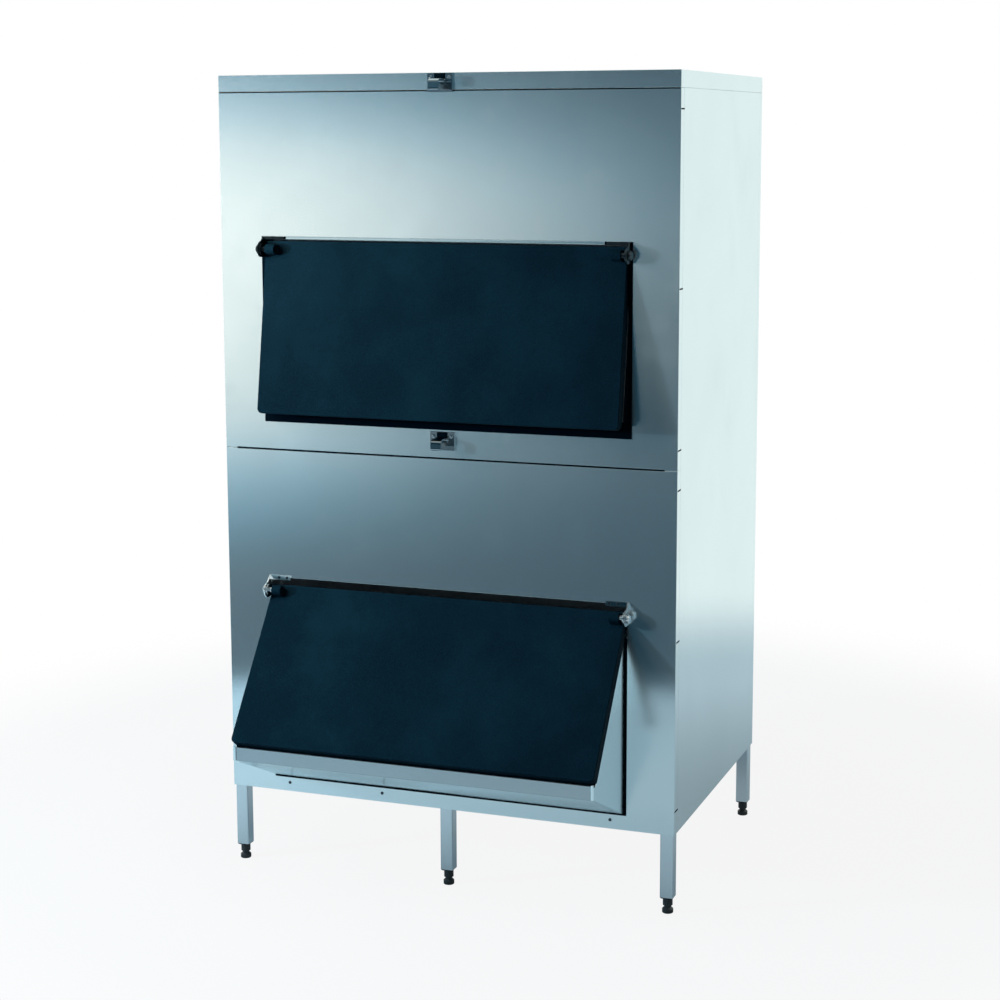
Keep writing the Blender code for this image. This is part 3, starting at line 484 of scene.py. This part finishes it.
def fasteners(name, profile, size, places, direction, finish):
    """One piece of equal rivets or screws, sunk a little into what they hold."""
    radius, rise = size
    head = [(0, -SUNK), (radius, -SUNK), *((radius * wide, rise * high) for wide, high in profile)]
    shape = bmesh.new()
    for place in places:
        lathe(shape, head, place, direction)
    place_piece(name, shape, finish)


def make_fasteners():
    """Rivets and screws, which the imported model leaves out."""
    for side, tab_height in TAB_HEIGHTS.items():
        plate_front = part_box(side + "_catch_buffer")[1].y + PAD_GAP
        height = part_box(side + "_hook")[1].z + CATCH_RIVET_ABOVE_HOOK
        places = [(x, plate_front, height) for x in (-CATCH_RIVET_X, CATCH_RIVET_X)]
        fasteners(
            side + "_catch_rivets", RIVET_SHAPE, CATCH_RIVET, places, FORWARDS, "fitting")
        places = []
        for hand, sign in HANDS:
            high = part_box(f"{side}_{hand}_hinge_bracket")[1]
            middle = high.z - tab_height / 2
            places += [(sign * x, high.y - TAB_THICK, middle) for x in TAB_SCREWS_X]
        fasteners(
            side + "_hinge_screws", SCREW_SHAPE, (tab_height * TAB_SCREW_SHARE, TAB_SCREW_RISE),
            places, FORWARDS, "dark_metal")
    places = [(x, FRONT, BASE_SCREW_HEIGHT) for x in BASE_SCREWS_X]
    fasteners(
        "base_strip_screws", SCREW_SHAPE, BASE_SCREW, places, FORWARDS, "dark_metal")
    places = [
        (sign * (HALF_WIDTH - BACK_RIVET_INSET), BACK - BACK_RIVET_SUNK, height)
        for _, sign in HANDS for height in BACK_RIVET_HEIGHTS]
    fasteners(
        "back_rivets", RIVET_SHAPE, BACK_RIVET, places, BACKWARDS, "fitting")


def blocks(name, corners, finish):
    """One piece of closed boxes, each between two corners."""
    shape = bmesh.new()
    for low, high in corners:
        made = bmesh.ops.create_cube(shape, size=1)["verts"]
        size = Vector(high) - Vector(low)
        middle = Matrix.Translation((Vector(high) + Vector(low)) / 2)
        bmesh.ops.transform(shape, matrix=middle @ Matrix.Diagonal((*size, 1)), verts=made)
    return place_piece(name, shape, finish)


def make_trim():
    """Painted shade in the seam, under the band and in the slits down the sides, and the hems."""
    # Painted shade: a dark block in the seam between the front panels.
    seam = (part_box("upper_front_panel")[0].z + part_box("lower_front_panel")[1].z) / 2
    near, far = (FRONT + depth for depth in SEAM_DEPTHS)
    low = (-SEAM_HALF_LENGTH, near, seam - SEAM_HALF_HEIGHT)
    high = (SEAM_HALF_LENGTH, far, seam + SEAM_HALF_HEIGHT)
    blocks("seam_painted_shade", [(low, high)], "rubber")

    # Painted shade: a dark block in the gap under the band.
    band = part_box("upper_front_panel")[1].z
    width = HALF_WIDTH - BAND_GAP_SHADE_INSET
    near, far = (FRONT + depth for depth in BAND_GAP_SHADE_DEPTHS)
    low = (-width, near, band - BAND_GAP_SHADE_HEIGHT)
    blocks("band_gap_painted_shade", [(low, (width, far, band))], "rubber")

    # Painted shade: dark blocks in the slits down the sides.
    corners = []
    for _, sign in HANDS:
        left, right = sorted((sign * (HALF_WIDTH - SLIT_SUNK), sign * (HALF_WIDTH + SLIT_PROUD)))
        near, far = (FRONT + depth for depth in SLIT_DEPTHS)
        for height in SLIT_HEIGHTS:
            low = (left, near, height - SLIT_HALF_HEIGHT)
            corners.append((low, (right, far, height + SLIT_HALF_HEIGHT)))
    blocks("side_slits_painted_shade", corners, "rubber")

    corners = []
    lip_low, lip_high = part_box("chute_lip")
    for hand, sign in HANDS:
        cheek_low, cheek_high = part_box(f"chute_{hand}_cheek")
        outer = cheek_high.x if sign > 0 else cheek_low.x
        left, right = sorted((outer, outer - sign * HEM_WIDTH))
        near, far = (cheek_low.y + depth for depth in HEM_DEPTHS)
        corners.append(((left, near, lip_low.z), (right, far, lip_high.z + HEM_ABOVE_LIP)))
    soften(blocks("chute_hems", corners, "bright"), HEM_ROUNDING)


def make_camera():
    camera = bpy.data.objects.new("camera", bpy.data.cameras.new("camera"))
    camera.data.lens = CAMERA_LENS
    camera.data.sensor_width = CAMERA_SENSOR
    camera.data.shift_y = CAMERA_SHIFT_Y
    turns = ((CAMERA_TURN, "Z"), (90 + CAMERA_PITCH, "X"), (CAMERA_ROLL, "Z"))
    camera.matrix_world = Matrix.Translation(CAMERA_PLACE)
    for degrees, axis in turns:
        turn = Matrix.Rotation(math.radians(degrees), 4, axis)
        camera.matrix_world = camera.matrix_world @ turn
    bpy.context.scene.collection.objects.link(camera)
    bpy.context.scene.camera = camera


def make_lamps():
    """Soft square lamps that neither the camera nor the gloss of the steel shows."""
    for name, (place, size, power, colour) in LAMPS.items():
        lamp = bpy.data.objects.new(name, bpy.data.lights.new(name, "AREA"))
        lamp.data.size = size
        lamp.data.energy = power
        lamp.data.color = colour
        lamp.location = place
        towards = Vector(LAMP_TARGET) - Vector(place)
        lamp.rotation_euler = towards.to_track_quat("-Z", "Y").to_euler()
        lamp.visible_glossy = False
        lamp.visible_camera = False
        bpy.context.scene.collection.objects.link(lamp)


def make_floor():
    """A pale floor with painted shade near its middle, that keeps the shadow and fades into white.
    """
    bpy.ops.mesh.primitive_circle_add(
        vertices=FLOOR_CORNERS, radius=FLOOR_RADIUS, fill_type="NGON", location=FLOOR_MIDDLE)
    floor = bpy.context.object
    floor.name = "studio_floor"
    material, tree, shader = start_material("floor_paper", Roughness=0.9, Specular_IOR_Level=0.1)
    path = add(tree, "ShaderNodeLightPath").outputs
    place = object_place(tree)
    reach = add(tree, "ShaderNodeVectorMath", {0: place}, operation="LENGTH").outputs["Value"]
    beside = add(tree, "ShaderNodeSeparateXYZ", {0: place}).outputs[1]
    beside = remap(tree, beside, FLOOR_SIDE_PLACES)

    grain = remap(tree, noise(tree, FLOOR_GRAIN), (0, 1), FLOOR_GRAIN_SHADES)
    # Painted shade: the floor's colour darkens towards its middle, under the cabinet.
    beyond_painted_shade = product(tree, remap(tree, reach, FLOOR_PAINTED_SHADE_REACH), grain)
    painted_shade_tone = rgba(FLOOR_COLOUR, FLOOR_PAINTED_SHADE_SHARE)
    tone = blend_colour(tree, beyond_painted_shade, painted_shade_tone, rgba(FLOOR_COLOUR))
    link(tree, tone, shader, "Base Color")

    seen = product(tree, straight_ray(tree, path), FLOOR_SEEN_WHITENING)
    # Painted shade: mirrored in the steel, the floor glows less near its middle.
    mirrored = remap(tree, reach, FLOOR_GLOSS_PAINTED_SHADE_REACH, FLOOR_GLOSS_WHITENING, "LINEAR")
    mirrored = total(tree, mirrored, product(tree, beside, FLOOR_SIDE_WHITENING))
    share = total(tree, seen, product(tree, path["Is Glossy Ray"], mirrored))
    glow_tint = blend_colour(tree, path["Is Glossy Ray"], WHITE, rgba(FLOOR_GLOSS_TINT))
    glow = add(tree, "ShaderNodeEmission", {"Color": glow_tint, "Strength": 1.0}).outputs[0]
    whitened = blend_shader(tree, share, shader.outputs[0], glow)

    gloss_fade = blend(
        tree, beside, remap(tree, reach, FLOOR_GLOSS_FADE), remap(tree, reach, FLOOR_SIDE_FADE))
    seen_fade = remap(tree, reach, FLOOR_SEEN_FADE)
    fade = blend(tree, path["Is Glossy Ray"], seen_fade, gloss_fade)
    clear = add(tree, "ShaderNodeBsdfTransparent").outputs[0]
    ends = blend_shader(tree, fade, whitened, clear)
    link(tree, ends, tree.nodes["Material Output"], "Surface")
    floor.data.materials.append(material)


def studio_level(tree):
    """The level of white in each direction, and how plain it is there."""
    direction = add(tree, "ShaderNodeTexCoord").outputs["Generated"]
    towards = add(tree, "ShaderNodeSeparateXYZ", {0: direction}).outputs
    degrees = 180 / math.pi
    turned = calc(tree, "ARCTAN2", product(tree, towards[0], -1), product(tree, towards[1], -1))
    left = product(tree, turned, degrees)
    rise = product(tree, calc(tree, "ARCSINE", towards[2]), degrees)

    flag = product(tree, remap(tree, left, FLAG_RIGHT_EDGE), remap(tree, rise, FLAG_TOP_EDGE))
    right = remap(tree, rise, RIGHT_RISE, RIGHT_LEVELS)
    front = remap(tree, flag, (0, 1), (right, FLAG_LEVEL), "LINEAR")
    front = blend(tree, remap(tree, rise, FLAG_TOP_EDGE[::-1]), front, CEILING_LEVEL)

    box = product(tree, remap(tree, left, BOX_RIGHT_EDGE), remap(tree, left, BOX_LEFT_EDGE))
    box = product(tree, box, BOX_LEVEL)
    for edges, softness in ((BOX_TOP_EDGES, BOX_TOP_SOFTNESS), (BOX_LOW_EDGES, BOX_LOW_SOFTNESS)):
        edge = remap(tree, left, BOX_EDGE_PLACES, edges, "LINEAR")
        box = product(tree, box, remap(tree, calc(tree, "SUBTRACT", rise, edge), softness))

    behind = remap(tree, calc(tree, "ABSOLUTE", left), BEHIND_EDGE, (0, BEHIND_LEVEL))
    level = calc(tree, "MAXIMUM", total(tree, front, box), behind)
    overhead = remap(tree, rise, OVERHEAD_RISE)
    plain = calc(tree, "MAXIMUM", overhead, remap(tree, left, PLAIN_LEFT))
    return total(tree, level, product(tree, overhead, OVERHEAD_LEVEL)), plain


def make_world():
    """White to the camera, an even light for dull surfaces, and a studio in the steel's gloss."""
    world = bpy.data.worlds.new("studio")
    bpy.context.scene.world = world
    world.use_nodes = True
    tree = world.node_tree
    level, plain = studio_level(tree)
    tint = add(tree, "ShaderNodeValToRGB", {0: product(tree, level, 1 / TINT_TOP)})
    stops = tint.color_ramp.elements
    while len(stops) < len(TINT_STOPS):
        stops.new(0.5)
    for stop, (place, colour) in zip(stops, TINT_STOPS):
        stop.position = place
        stop.color = rgba(colour)
    tinted = scale_colour(tree, tint.outputs[0], TINT_TOP)
    gloss = blend_colour(tree, plain, tinted, scale_colour(tree, PLAIN_COLOUR, level))
    path = add(tree, "ShaderNodeLightPath").outputs
    colour = blend_colour(tree, path["Is Glossy Ray"], rgba(AMBIENT), gloss)
    seen = blend_colour(tree, straight_ray(tree, path), colour, WHITE)
    link(tree, seen, tree.nodes["Background"], "Color")


dress_nodes()
make_fasteners()
make_trim()
make_camera()
make_lamps()
make_floor()
make_world()
bpy.context.scene.view_settings.view_transform = "Standard"
